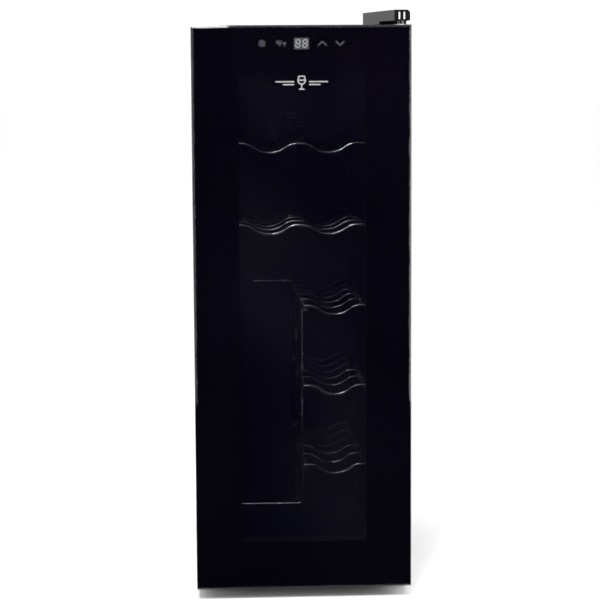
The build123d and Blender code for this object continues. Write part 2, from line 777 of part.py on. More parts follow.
cold_plate_front = cavity_back - cold_plate_thickness
cold_fin_front = cold_plate_front - cold_fin_height
cold_fan_front = cold_fin_front - fan_gap - cold_fan_thickness
hot_fin_back = cabinet_back + hot_plate_thickness + hot_fin_height
make_fan("cold", cold_fan_size, cold_fan_thickness, cold_fan_front)
make_fan("hot", hot_fan_size, hot_fan_thickness, hot_fin_back + fan_gap)


# ------------------------------------------------------------------ thermoelectric unit
def fin_places(plate_width, pitch):
    """X of each fin, centred on the plate."""
    count = int((plate_width - fin_thickness) // pitch) + 1
    return [(index - (count - 1) / 2) * pitch for index in range(count)]


with BuildPart() as cold_sink:
    slab(-cold_plate_width / 2, cold_plate_width / 2, cold_plate_front, cavity_back,
         thermal_z - cold_plate_height / 2, thermal_z + cold_plate_height / 2)
    for x in fin_places(cold_plate_width, cold_fin_pitch):
        slab(x - fin_thickness / 2, x + fin_thickness / 2, cold_fin_front, cold_plate_front,
             thermal_z - cold_plate_height / 2, thermal_z + cold_plate_height / 2)
save(cold_sink, "cold_sink")

with BuildPart() as cold_block:
    slab(-block_size / 2, block_size / 2, cavity_back, cabinet_back - module_thickness,
         thermal_z - block_size / 2, thermal_z + block_size / 2)
save(cold_block, "cold_block")

with BuildPart() as peltier_module:
    slab(-block_size / 2, block_size / 2, cabinet_back - module_thickness, cabinet_back,
         thermal_z - block_size / 2, thermal_z + block_size / 2)
save(peltier_module, "peltier_module")

with BuildPart() as hot_sink:
    slab(-hot_plate_width / 2, hot_plate_width / 2, cabinet_back, cabinet_back + hot_plate_thickness,
         thermal_z - hot_plate_height / 2, thermal_z + hot_plate_height / 2)
    for x in fin_places(hot_plate_width, hot_fin_pitch):
        slab(x - fin_thickness / 2, x + fin_thickness / 2, cabinet_back + hot_plate_thickness, hot_fin_back,
             thermal_z - hot_plate_height / 2, thermal_z + hot_plate_height / 2)
save(hot_sink, "hot_sink")

# Cover over the cold side: a tray with a round fan grille and side slots
cold_cover_front = cavity_back - cold_cover_depth
cold_cover_corner = 5.0
cold_slot_rows = 4         # above and below the middle slot
cold_slot_pitch = 6.0
cold_slot_width = 3.0
cold_slot_radius = cold_fan_size / 2 - 3
cold_outlets = 6
cold_outlet_pitch = 14.0
cold_outlet_length = 10.0
cold_outlet_rise = cold_cover_height / 2 - 12
with BuildPart() as cold_cover:
    slab(-cold_cover_width / 2, cold_cover_width / 2, cold_cover_front, cavity_back,
         thermal_z - cold_cover_height / 2, thermal_z + cold_cover_height / 2)
    fillet(cold_cover.edges().filter_by(Axis.Y), cold_cover_corner)
    slab(-cold_cover_width / 2 + cold_cover_wall, cold_cover_width / 2 - cold_cover_wall,
         cold_cover_front + cold_cover_wall, cavity_back,
         thermal_z - cold_cover_height / 2 + cold_cover_wall,
         thermal_z + cold_cover_height / 2 - cold_cover_wall, Mode.SUBTRACT)
    with BuildSketch(facing(cold_cover_front)):
        for row in range(-cold_slot_rows, cold_slot_rows + 1):
            rise = row * cold_slot_pitch
            with Locations((0, thermal_z + rise)):
                SlotOverall(2 * (cold_slot_radius ** 2 - rise ** 2) ** 0.5, cold_slot_width)
        for side in (-1, 1):
            with Locations((0, thermal_z + side * cold_outlet_rise)):
                with GridLocations(cold_outlet_pitch, 0, cold_outlets, 1):
                    SlotOverall(cold_outlet_length, cold_slot_width)
    extrude(amount=-cold_cover_wall, mode=Mode.SUBTRACT)
save(cold_cover, "cold_cover")

# ------------------------------------------------------------------ rear cover
rear_half = rear_cover_width / 2
vent_z = rear_cover_bottom + 110
inlet_x = -rear_half + 40
inlet_z = rear_cover_bottom + 30
rear_cover_corner = 8.0
rear_cover_bevel = 3.0
rear_flange_margin = 8.0   # flange shorter than the cover at each end
grille_radius = hot_fan_size / 2 - 3
grille_rings = (12, 20, 28, 36)
grille_bar = 1.8
grille_strut = 2.4
vent_pitch = (64, 9)
vent_counts = (3, 9)
vent_slot = (54, 4)
with BuildPart() as rear_cover:
    slab(-rear_half, rear_half, cabinet_back, back, rear_cover_bottom, rear_cover_top)
    fillet(rear_cover.edges().filter_by(Axis.Y), rear_cover_corner)
    chamfer(rear_cover.faces().sort_by(Axis.Y)[-1].edges(), rear_cover_bevel)
    slab(-rear_half + rear_cover_wall, rear_half - rear_cover_wall, cabinet_back, back - rear_cover_wall,
         rear_cover_bottom + rear_cover_wall, rear_cover_top - rear_cover_wall, Mode.SUBTRACT)
    for side in (-1, 1):
        edges_x = sorted((side * (rear_half - rear_cover_wall), side * (rear_half + rear_cover_flange)))
        slab(edges_x[0], edges_x[1], cabinet_back, cabinet_back + rear_cover_wall,
             rear_cover_bottom + rear_flange_margin, rear_cover_top - rear_flange_margin)
    cut_screw_holes(rear_screws, cabinet_back, cabinet_back + rear_cover_wall)
    with BuildSketch(facing(back)):
        with Locations((0, thermal_z)):
            Circle(grille_radius)
            for ring in reversed(grille_rings):
                Circle(ring + grille_bar / 2, mode=Mode.SUBTRACT)
                Circle(ring - grille_bar / 2)
            with PolarLocations(0, 2, start_angle=45):
                Rectangle(2 * grille_radius, grille_strut, mode=Mode.SUBTRACT)
            Circle(grille_rings[0], mode=Mode.SUBTRACT)
        with Locations((0, vent_z)):
            with GridLocations(*vent_pitch, *vent_counts):
                SlotOverall(*vent_slot)
        with Locations((inlet_x, inlet_z)):
            Rectangle(inlet_width + 2 * fit_gap, inlet_height + 2 * fit_gap)
    extrude(amount=rear_cover_wall, both=True, mode=Mode.SUBTRACT)
save(rear_cover, "rear_cover")

with BuildPart() as rear_cover_screws:
    for x, z in rear_screws:
        rod_y(x, z, cabinet_back - screw_length + screw_end_gap, cabinet_back + rear_cover_wall,
              screw_radius)
        rod_y(x, z, cabinet_back + rear_cover_wall, cabinet_back + rear_cover_wall + screw_head,
              screw_head_radius)
save(rear_cover_screws, "rear_cover_screws")

# ------------------------------------------------------------------ power supply
board_x = 20.0
board_z = vent_z
board_y = cabinet_back + board_stand
board_top = board_y + board_thickness
transformer = (-45, -10, -20, 12)         # left, right, bottom and top on the board
transformer_height = 20.4
heat_plate = (5, 9, -35, 30)
heat_plate_height = 18.4
capacitors = ((22, 25, 9), (22, -2, 9), (38, 12, 6), (38, -12, 6), (-30, 32, 7))
capacitor_height = 16.4
standoff_radius = 3.5
standoff_margin = 6.0


def board_block(edges, height):
    left, right, low, high = edges
    slab(board_x + left, board_x + right, board_top, board_top + height, board_z + low, board_z + high)


with BuildPart() as power_board:
    slab(board_x - board_width / 2, board_x + board_width / 2, board_y, board_top,
         board_z - board_height / 2, board_z + board_height / 2)
    board_block(transformer, transformer_height)
    board_block(heat_plate, heat_plate_height)
    for x, z, radius in capacitors:
        rod_y(board_x + x, board_z + z, board_top, board_top + capacitor_height, radius)
save(power_board, "power_board")

with BuildPart() as board_standoffs:
    for side in (-1, 1):
        for end in (-1, 1):
            rod_y(board_x + side * (board_width / 2 - standoff_margin),
                  board_z + end * (board_height / 2 - standoff_margin),
                  cabinet_back, board_y, standoff_radius)
save(board_standoffs, "board_standoffs")

# Appliance inlet: a collar through the rear cover, a flange behind it and three blades
inlet_floor = 4.0
inlet_flange = 3.0
inlet_flange_side = 6.0
inlet_flange_end = 3.0
inlet_blades = ((-7, -2), (0, 3), (7, -2))
inlet_blade_width = 2.0
inlet_blade_height = 4.0
inlet_blade_setback = 8.0
inlet_front = back - inlet_depth
inlet_left = inlet_x - inlet_width / 2
inlet_right = inlet_x + inlet_width / 2
inlet_low = inlet_z - inlet_height / 2
inlet_high = inlet_z + inlet_height / 2
with BuildPart() as mains_inlet:
    slab(inlet_left, inlet_right, inlet_front, back, inlet_low, inlet_high)
    slab(inlet_left - inlet_flange_side, inlet_right + inlet_flange_side,
         back - rear_cover_wall - inlet_flange, back - rear_cover_wall - loose_gap,
         inlet_low - inlet_flange_end, inlet_high + inlet_flange_end)
    slab(inlet_left + inlet_wall, inlet_right - inlet_wall, inlet_front + inlet_floor, back,
         inlet_low + inlet_wall, inlet_high - inlet_wall, Mode.SUBTRACT)
    for x, z in inlet_blades:
        slab(inlet_x + x - inlet_blade_width / 2, inlet_x + x + inlet_blade_width / 2,
             inlet_front + inlet_floor, back - inlet_blade_setback,
             inlet_z + z - inlet_blade_height / 2, inlet_z + z + inlet_blade_height / 2)
save(mains_inlet, "mains_inlet")

# ------------------------------------------------------------------ light and sensor
light_y = cabinet_front + 57
light_half = 40.0
light_half_depth = 10.0
lens_drop = 6.0
lens_wall = 2.0


def light_slab(inset, low, mode=Mode.ADD):
    """A block under the liner ceiling, pulled in from the lens outline."""
    slab(-light_half + inset, light_half - inset,
         light_y - light_half_depth + inset, light_y + light_half_depth - inset,
         low, cavity_top, mode)


with BuildPart() as light_lens:
    light_slab(0, cavity_top - lens_drop)
    light_slab(lens_wall, cavity_top - lens_drop + lens_wall, Mode.SUBTRACT)
save(light_lens, "light_lens")

with BuildPart() as light_board:
    light_slab(2 * lens_wall, cavity_top - board_thickness)
save(light_board, "light_board")

sensor_x = cavity_half - 22
sensor_z = shelf_levels[1] + 20
sensor_depth = 8.0
sensor_half_width = 6.0
sensor_half_height = 14.0
sensor_round = 2.5
with BuildPart() as temperature_sensor:
    slab(sensor_x - sensor_half_width, sensor_x + sensor_half_width, cavity_back - sensor_depth, cavity_back,
         sensor_z - sensor_half_height, sensor_z + sensor_half_height)
    fillet(temperature_sensor.faces().sort_by(Axis.Y)[0].edges(), sensor_round)
save(temperature_sensor, "temperature_sensor")
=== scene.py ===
import json
from math import cos, radians, sin

import bmesh
import bpy
from mathutils import Matrix, Vector


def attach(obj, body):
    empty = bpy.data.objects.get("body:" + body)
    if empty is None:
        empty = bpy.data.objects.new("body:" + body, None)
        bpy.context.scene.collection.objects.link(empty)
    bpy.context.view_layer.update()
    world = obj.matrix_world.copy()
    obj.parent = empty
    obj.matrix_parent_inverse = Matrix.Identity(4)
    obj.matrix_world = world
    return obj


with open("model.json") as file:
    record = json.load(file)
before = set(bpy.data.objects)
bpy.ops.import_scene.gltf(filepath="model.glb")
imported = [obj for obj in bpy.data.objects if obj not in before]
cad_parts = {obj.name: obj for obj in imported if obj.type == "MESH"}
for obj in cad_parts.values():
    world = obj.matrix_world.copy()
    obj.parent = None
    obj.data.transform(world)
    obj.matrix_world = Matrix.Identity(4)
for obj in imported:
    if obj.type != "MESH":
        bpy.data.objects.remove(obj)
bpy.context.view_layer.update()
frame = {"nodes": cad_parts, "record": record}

scene = bpy.context.scene
MM = 0.001


# ------------------------------------------------------------------ camera
CAMERA_PLACE = (-0.1296, -2.6697, 0.6827)    # metres
CAMERA_YAW = 0.052         # radians, to the right of +Y
CAMERA_PITCH = 0.11855     # radians, downwards
CAMERA_ROLL = -0.00559
SENSOR_WIDTH = 36
LENS = 114


def make_camera():
    """Long lens, a little left of the door's middle and looking slightly down."""
    forward = Vector((
        sin(CAMERA_YAW) * cos(CAMERA_PITCH),
        cos(CAMERA_YAW) * cos(CAMERA_PITCH),
        -sin(CAMERA_PITCH),
    ))
    right = Vector((cos(CAMERA_YAW), -sin(CAMERA_YAW), 0))
    up = right.cross(forward)
    right_rolled = cos(CAMERA_ROLL) * right + sin(CAMERA_ROLL) * up
    up_rolled = cos(CAMERA_ROLL) * up - sin(CAMERA_ROLL) * right
    data = bpy.data.cameras.new("camera")
    data.sensor_width = SENSOR_WIDTH
    data.lens = LENS
    camera = bpy.data.objects.new("camera", data)
    scene.collection.objects.link(camera)
    turn = Matrix((right_rolled, up_rolled, -forward)).transposed()
    camera.matrix_world = Matrix.Translation(Vector(CAMERA_PLACE)) @ turn.to_4x4()
    scene.camera = camera


make_camera()


# ------------------------------------------------------------------ material kit
NOISE_ROUGHNESS = 0.55
CLOUD_SCALE = 12.0         # slow variation of colour and gloss
GRAIN_DETAIL = 2.0
WIRE_CLOUD_SCALE = 40.0
WIRE_GRAIN_SCALE = 1400
WIRE_GRAIN_DEPTH = 1.5e-5
PAINTED_SHADE_FROM = -0.19          # depth in metres where the painted shade on the wires begins
# depth in metres where the painted shade on the wires is at its darkest
PAINTED_SHADE_TO = 0.02
SMEAR_SCALE = 9.0
SMEAR_DETAIL = 5.0


def new_material(name):
    material = bpy.data.materials.new(name)
    material.use_nodes = True
    tree = material.node_tree
    tree.nodes.clear()
    shader = tree.nodes.new("ShaderNodeBsdfPrincipled")
    output = tree.nodes.new("ShaderNodeOutputMaterial")
    tree.links.new(shader.outputs[0], output.inputs[0])
    return material, tree, shader


def coordinates(tree, scale=(1, 1, 1)):
    """Object coordinates in metres, stretched per axis."""
    place = tree.nodes.new("ShaderNodeTexCoord")
    mapping = tree.nodes.new("ShaderNodeMapping")
    mapping.inputs["Scale"].default_value = scale
    tree.links.new(place.outputs["Object"], mapping.inputs["Vector"])
    return mapping.outputs[0]


def noise(tree, vector, scale, detail=3.0):
    node = tree.nodes.new("ShaderNodeTexNoise")
    node.inputs["Scale"].default_value = scale
    node.inputs["Detail"].default_value = detail
    node.inputs["Roughness"].default_value = NOISE_ROUGHNESS
    tree.links.new(vector, node.inputs["Vector"])
    return node.outputs["Fac"]


def ramp(tree, value, low, high, start=0.35, end=0.65):
    """Maps a texture value to a range."""
    node = tree.nodes.new("ShaderNodeMapRange")
    node.inputs["From Min"].default_value = start
    node.inputs["From Max"].default_value = end
    node.inputs["To Min"].default_value = low
    node.inputs["To Max"].default_value = high
    tree.links.new(value, node.inputs["Value"])
    return node.outputs[0]


def colour_between(tree, value, dark, light):
    node = tree.nodes.new("ShaderNodeMix")
    node.data_type = "RGBA"
    node.inputs["A"].default_value = (*dark, 1)
    node.inputs["B"].default_value = (*light, 1)
    tree.links.new(value, node.inputs["Factor"])
    return node.outputs["Result"]


def bump(tree, shader, height, distance):
    node = tree.nodes.new("ShaderNodeBump")
    node.inputs["Strength"].default_value = 1.0
    node.inputs["Distance"].default_value = distance
    tree.links.new(height, node.inputs["Height"])
    tree.links.new(node.outputs[0], shader.inputs["Normal"])


def surface(name, dark, light, rough, grain, grain_depth, stretch=(1, 1, 1), metallic=0.0,
            specular=0.5):
    """Everyday opaque finish: cloudy colour, uneven gloss and a fine surface grain.

    The colour varies from dark to light and the roughness over the range rough. The grain is
    grain_depth metres deep, and a depth of 0 leaves it out.
    """
    material, tree, shader = new_material(name)
    vector = coordinates(tree, stretch)
    clouds = noise(tree, vector, CLOUD_SCALE)
    colour = colour_between(tree, ramp(tree, clouds, 0, 1), dark, light)
    tree.links.new(colour, shader.inputs["Base Color"])
    tree.links.new(ramp(tree, clouds, rough[0], rough[1]), shader.inputs["Roughness"])
    shader.inputs["Metallic"].default_value = metallic
    shader.inputs["Specular IOR Level"].default_value = specular
    if grain_depth:
        bump(tree, shader, noise(tree, vector, grain, GRAIN_DETAIL), grain_depth)
    return material


def chrome_with_painted_shade(name):
    """Chromed wire with painted shade: its colour darkens towards the back of the cabinet, where less light
    falls.
    """
    material, tree, shader = new_material(name)
    vector = coordinates(tree)
    parts = tree.nodes.new("ShaderNodeSeparateXYZ")
    tree.links.new(vector, parts.inputs[0])
    depth = ramp(tree, parts.outputs["Y"], 0, 1, start=PAINTED_SHADE_FROM, end=PAINTED_SHADE_TO)
    front_colour = (0.62, 0.63, 0.66)
    painted_shade_colour = (0.05, 0.05, 0.065)
    # painted shade: the wire colour runs from bright chrome at the front to near black at the back
    colour = colour_between(tree, depth, front_colour, painted_shade_colour)
    tree.links.new(colour, shader.inputs["Base Color"])
    clouds = noise(tree, vector, WIRE_CLOUD_SCALE)
    tree.links.new(ramp(tree, clouds, 0.18, 0.3), shader.inputs["Roughness"])
    shader.inputs["Metallic"].default_value = 1.0
    bump(tree, shader, noise(tree, vector, WIRE_GRAIN_SCALE, GRAIN_DETAIL), WIRE_GRAIN_DEPTH)
    return material


def glass(name, dark, light, cover, cloud):
    """Tinted pane: the share cover hides what stands behind, and the rest shows through."""
    material, tree, shader = new_material(name)
    vector = coordinates(tree)
    haze = ramp(tree, noise(tree, vector, cloud, GRAIN_DETAIL), 0, 1, start=0.42, end=0.72)
    tree.links.new(colour_between(tree, haze, dark, light), shader.inputs["Base Color"])
    smears = noise(tree, vector, SMEAR_SCALE, SMEAR_DETAIL)
    tree.links.new(ramp(tree, smears, 0.01, 0.03), shader.inputs["Roughness"])
    shader.inputs["IOR"].default_value = 1.5
    shader.inputs["Alpha"].default_value = cover
    return material


def glowing(name, colour, strength):
    material, tree, shader = new_material(name)
    shader.inputs["Base Color"].default_value = (0.02, 0.02, 0.02, 1)
    shader.inputs["Emission Color"].default_value = (*colour, 1)
    shader.inputs["Emission Strength"].default_value = strength
    shader.inputs["Roughness"].default_value = 0.4
    return material


# ------------------------------------------------------------------ materials
paint = surface("cabinet_paint", (0.004, 0.004, 0.006), (0.008, 0.008, 0.010), (0.28, 0.36), 1500, 2e-5)
back_paint = surface("back_paint", (0.02, 0.02, 0.021), (0.035, 0.035, 0.035), (0.5, 0.62), 900, 4e-5)
foam = surface("foam", (0.62, 0.52, 0.28), (0.78, 0.68, 0.42), (0.85, 0.95), 500, 3e-4)
liner = surface("liner_plastic", (0.0012, 0.0020, 0.0064), (0.0024, 0.0034, 0.0090), (0.5, 0.6), 1200, 4e-5,
                specular=0.15)
door_plastic = surface("door_plastic", (0.004, 0.004, 0.005), (0.008, 0.008, 0.009), (0.4, 0.5), 1800, 3e-5)
cover_plastic = surface("cover_plastic", (0.002, 0.002, 0.003), (0.005, 0.005, 0.006), (0.16, 0.22),
                        1600, 1e-5, specular=0.4)
foot_plastic = surface("foot_plastic", (0.02, 0.02, 0.02), (0.04, 0.04, 0.04), (0.55, 0.7), 900, 5e-5)
rear_plastic = surface("rear_plastic", (0.015, 0.015, 0.016), (0.028, 0.028, 0.03), (0.5, 0.6), 1100, 8e-5)
fan_plastic = surface("fan_plastic", (0.003, 0.003, 0.004), (0.006, 0.006, 0.007), (0.42, 0.52), 1300, 3e-5)
gasket = surface("gasket_rubber", (0.012, 0.012, 0.012), (0.024, 0.024, 0.024), (0.5, 0.62), 700, 5e-5)
print_black = surface("ceramic_print", (0.0004, 0.0003, 0.0007), (0.0008, 0.0006, 0.0012), (0.5, 0.6),
                      600, 0, specular=0.0)
spacer = surface("spacer_metal", (0.004, 0.004, 0.006), (0.007, 0.007, 0.010), (0.4, 0.5), 900, 2e-5)
# the wire material carries painted shade that darkens it towards the back
wire = chrome_with_painted_shade("chromed_wire")
steel = surface("hinge_steel", (0.36, 0.37, 0.39), (0.52, 0.53, 0.55), (0.26, 0.4), 1600, 3e-5,
                stretch=(1, 0.06, 1), metallic=1.0)
nylon = surface("nylon", (0.62, 0.61, 0.57), (0.74, 0.73, 0.69), (0.4, 0.5), 900, 3e-5)
aluminium = surface("sink_aluminium", (0.6, 0.61, 0.63), (0.74, 0.75, 0.77), (0.3, 0.42), 1500, 2e-5,
                    stretch=(1, 1, 0.05), metallic=1.0)
ceramic = surface("ceramic", (0.78, 0.78, 0.75), (0.88, 0.88, 0.86), (0.45, 0.55), 900, 2e-5)
board = surface("circuit_board", (0.012, 0.07, 0.03), (0.02, 0.11, 0.045), (0.3, 0.4), 800, 2e-5)
display_face = surface("display_plastic", (0.004, 0.004, 0.005), (0.007, 0.007, 0.009), (0.2, 0.25), 900, 0)
diffuser = surface("diffuser", (0.72, 0.76, 0.8), (0.8, 0.84, 0.88), (0.4, 0.5), 900, 2e-5)
door_glass = glass("tinted_glass", (0.0012, 0.0008, 0.0030), (0.0024, 0.0019, 0.0048), 0.3, 5.0)
inner_glass = glass("clear_glass", (0.0012, 0.0026, 0.011), (0.034, 0.036, 0.046), 0.12, 4.5)
lit_segment = glowing("lit_segment", (0.92, 0.95, 1.0), 1.25)
backlight = glowing("backlight", (0.85, 0.88, 0.9), 0.15)
white_print = surface("white_print", (0.50, 0.51, 0.53), (0.58, 0.59, 0.61), (0.4, 0.5), 900, 0)
silver_print = surface("silver_print", (0.80, 0.80, 0.80), (0.88, 0.88, 0.88), (0.3, 0.4), 900, 0)

SLOT_MATERIALS = {
    "cabinet_paint": paint, "back_steel": back_paint, "pu_foam": foam, "liner_plastic": liner,
    "tinted_glass": door_glass, "clear_glass": inner_glass, "ceramic_print": print_black,
    "spacer_metal": spacer, "door_plastic": door_plastic, "gasket_rubber": gasket,
    "chromed_wire": wire, "hinge_steel": steel, "nylon": nylon, "cover_plastic": cover_plastic,
    "foot_plastic": foot_plastic, "sink_aluminium": aluminium, "ceramic": ceramic,
    "fan_plastic": fan_plastic, "rear_plastic": rear_plastic, "circuit_board": board,
    "display_plastic": display_face, "diffuser": diffuser,
}
for subpart in frame["record"]["subparts"]:
    node = frame["nodes"][subpart["node"]]
    node.data.materials.clear()
    node.data.materials.append(SLOT_MATERIALS[subpart["material_slot"]])


def piece(name, mesh, material, body):
    """Adds a mesh in metres, in the row frame, to the object."""
    obj = bpy.data.objects.new(name, mesh)
    scene.collection.objects.link(obj)
    obj.data.materials.append(material)
    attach(obj, body)
    return obj


# ------------------------------------------------------------------ detail pieces
STROKE_SMOOTHNESS = 3
ICON_Z = 720.6             # height of the row of keys, mm
PRINT_Y = -250.42          # in the gap between the glass and the black print
THIN_LINE = 0.2
THIN_FLATNESS = 0.2


def strokes(name, paths, radius, y, flatness, material, body):
    """Round-edged lines in the plane at depth y; paths are ((x, z), ...) in mm and a closed flag."""
    curve = bpy.data.curves.new(name, "CURVE")
    curve.dimensions = "3D"
    curve.bevel_depth = radius * MM
    curve.bevel_resolution = STROKE_SMOOTHNESS
    curve.use_fill_caps = True
    for points, closed in paths:
        spline = curve.splines.new("POLY")
        spline.points.add(len(points) - 1)
        for point, (x, z) in zip(spline.points, points):
            point.co = (x * MM, 0, z * MM, 1)
        spline.use_cyclic_u = closed
    holder = bpy.data.objects.new(name, curve)
    mesh = bpy.data.meshes.new_from_object(holder)
    bpy.data.objects.remove(holder)
    for vertex in mesh.vertices:
        vertex.co.y = y * MM + vertex.co.y * flatness
    for face in mesh.polygons:
        face.use_smooth = True
    mesh.name = name
    return piece(name, mesh, material, body)


def block(name, x0, x1, y0, y1, z0, z1, edge, material, body):
    """A block with rounded edges, in mm."""
    mesh = bpy.data.meshes.new(name)
    form = bmesh.new()
    bmesh.ops.create_cube(form, size=1.0)
    size = Vector((x1 - x0, y1 - y0, z1 - z0)) * MM
    middle = Vector((x1 + x0, y1 + y0, z1 + z0)) * MM / 2
    for vertex in form.verts:
        vertex.co = Vector(vertex.co[i] * size[i] for i in range(3)) + middle
    if edge:
        bmesh.ops.bevel(form, geom=form.edges[:], offset=edge * MM, segments=2, affect="EDGES", profile=0.6)
    form.to_mesh(mesh)
    form.free()
    return piece(name, mesh, material, body)


def arc(x, z, radius, start, end, count=24):
    """Points on an arc; angles in degrees from +X."""
    turns = [radians(start + (end - start) * i / count) for i in range(count + 1)]
    return [(x + radius * cos(turn), z + radius * sin(turn)) for turn in turns]


def make_snowflake():
    """Six separate barred arms round a free centre."""
    middle = Vector((-50.0, ICON_Z))
    arm_start, arm_end, bar_place, bar_half = 1.5, 4.7, 3.4, 1.2
    paths = []
    for spoke in range(6):
        turn = radians(60 * spoke + 30)
        along = Vector((cos(turn), sin(turn)))
        across = Vector((-along.y, along.x))
        paths.append(((tuple(middle + arm_start * along), tuple(middle + arm_end * along)), False))
        crossing = middle + bar_place * along
        paths.append(((tuple(crossing - bar_half * across), tuple(crossing + bar_half * across)), False))
    strokes("snowflake_icon", paths, THIN_LINE, PRINT_Y, THIN_FLATNESS, white_print, "door")


def make_lamp_icon():
    """Ring, slash and hanging lamp."""
    x = -26.0
    line_radius = 0.22
    ring = arc(x - 4.2, ICON_Z + 1.6, 1.7, 0, 360)[:-1]
    slash = ((x - 2.2, ICON_Z - 3.6), (x + 0.9, ICON_Z + 3.8))
    shade = ((x + 1.8, ICON_Z + 0.6), (x + 7.0, ICON_Z + 0.6))
    stem = ((x + 4.4, ICON_Z + 0.6), (x + 4.4, ICON_Z - 3.6))
    paths = [(ring, True), (slash, False), (shade, False), (stem, False)]
    strokes("lamp_icon", paths, line_radius, PRINT_Y, THIN_FLATNESS, white_print, "door")


def make_chevrons():
    """One open arrowhead up and one down."""
    half_width, half_rise, line_radius, flatness = 5.2, 2.6, 0.36, 0.14
    for name, x, way in (("up_icon", 26.5, 1), ("down_icon", 49.0, -1)):
        foot_z = ICON_Z - half_rise * way
        path = ((x - half_width, foot_z), (x, ICON_Z + half_rise * way), (x + half_width, foot_z))
        strokes(name, [(path, False)], line_radius, PRINT_Y, flatness, white_print, "door")


def figure_paths(x):
    """All seven segments of one figure, leaning to the right."""
    half_width, half_height, lean, gap = 2.5, 4.7, 0.08, 0.75
    across_gap = gap / half_width
    upward_gap = gap / half_height

    def at(u, v):
        return (x + u * half_width + lean * v * half_height, ICON_Z + v * half_height)

    paths = [((at(-1 + across_gap, v), at(1 - across_gap, v)), False) for v in (-1, 0, 1)]
    for u in (-1, 1):
        for low in (-1, 0):
            paths.append(((at(u, low + upward_gap), at(u, low + 1 - upward_gap)), False))
    return paths


def make_digits():
    """Two seven-segment figures over a faint backlight."""
    half_width, half_height = 9.5, 7.2
    light_front, light_back, figure_y = -250.22, -250.10, -250.27
    figure_x, line_radius, flatness = 4.5, 0.55, 0.1
    block("display_backlight", -half_width, half_width, light_front, light_back,
          ICON_Z - half_height, ICON_Z + half_height, 0, backlight, "door")
    paths = figure_paths(-figure_x) + figure_paths(figure_x)
    strokes("display_digits", paths, line_radius, figure_y, flatness, lit_segment, "door")


def make_wineglass_mark():
    """Plain wineglass between two pairs of lines, printed on the back of the glass."""
    z = 671.0
    rim_half, rim_z = 3.6, z + 8.6
    bowl = arc(0, z + 3.2, 4.6, 180, 360, 20)
    line_start, long_end, short_end = 9.5, 33.5, 24.0
    paths = [
        ([(-rim_half, rim_z)] + bowl + [(rim_half, rim_z)], False),
        (((-rim_half, rim_z), (rim_half, rim_z)), False),
        (((-4.4, z + 3.6), (4.4, z + 3.6)), False),
        (((0, z - 1.4), (0, z - 7.6)), False),
        (((-rim_half, z - 7.8), (rim_half, z - 7.8)), False),
    ]
    for side in (-1, 1):
        paths.append((((side * line_start, z + 1.6), (side * long_end, z + 1.6)), False))
        paths.append((((side * line_start, z - 2.0), (side * short_end, z - 2.0)), False))
    line_radius, flatness = 0.85, 0.06
    strokes("wineglass_mark", paths, line_radius, PRINT_Y, flatness, silver_print, "door")


def make_hinge_details():
    """Two upright ribs, each in a dark slot, in the nose of the hinge cover; the ribs' near-white colour is
    a painted highlight standing in for the bright slits.
    """
    slot_half, slot_low, slot_high = 1.5, 750.2, 760.0
    slot_front, slot_back, slot_edge = -250.12, -249.7, 0.1
    rib_half, rib_low, rib_high = 0.8, 750.6, 759.6
    rib_front, rib_back, rib_edge = -250.35, -249.9, 0.2
    for index, x in enumerate((124.3, 130.6)):
        block(f"hinge_nose_slot_{index + 1}", x - slot_half, x + slot_half, slot_front, slot_back,
              slot_low, slot_high, slot_edge, nose_black, "cabinet")
        block(f"hinge_nose_rib_{index + 1}", x - rib_half, x + rib_half, rib_front, rib_back,
              rib_low, rib_high, rib_edge, rib_painted_glint, "cabinet")


def screw_recess_shade(name, x, y, z, body):
    """Dark cross on the head of a screw that lies along Y, proud by a hair: painted shade standing in for
    the cross recess.
    """
    long_side, short_side, height = 4.6, 0.9, 0.12
    mesh = bpy.data.meshes.new(name)
    form = bmesh.new()
    for wide, tall in ((long_side, short_side), (short_side, long_side)):
        for vertex in bmesh.ops.create_cube(form, size=1.0)["verts"]:
            place = (x + vertex.co.x * wide, y + vertex.co.y * height, z + vertex.co.z * tall)
            vertex.co = Vector(place) * MM
    form.to_mesh(mesh)
    form.free()
    return piece(name, mesh, recess_shade_and_print, body)


def make_back_details():
    """Dark crosses of painted shade on the rear cover's screws, standing in for their recesses, and a rating
    plate with plain printed lines.

    The plate and its lines lie just under the face of the rear cover, so they don't show.
    """
    screw_x, screw_y = 117.0, 203.62
    places = [(side * screw_x, z) for side in (-1, 1) for z in (350, 523, 696)]
    for index, (x, z) in enumerate(places):
        screw_recess_shade(f"rear_recess_shade_{index + 1}", x, screw_y, z, "cabinet")
    block("rating_plate", x0=30, x1=92, y0=254.7, y1=254.99, z0=352, z1=384, edge=0,
          material=plate_silver, body="cabinet")
    line_start = 36
    rows = ((378, 40), (373, 48), (368, 34), (363, 44), (358, 26))
    lines = [(((line_start, z), (line_start + length, z)), False) for z, length in rows]
    strokes("rating_lines", lines, radius=0.5, y=254.96, flatness=0.05,
            material=recess_shade_and_print, body="cabinet")


def make_light_chips():
    """Six light chips under the board in the ceiling of the liner."""
    count, first_x, pitch, half = 6, -30, 12, 1.7
    middle_y, low, high, edge = -150.0, 693.2, 694.35, 0.2
    for index in range(count):
        x = first_x + pitch * index
        block(f"light_chip_{index + 1}", x - half, x + half, middle_y - half, middle_y + half, low, high,
              edge, diffuser, "cabinet")


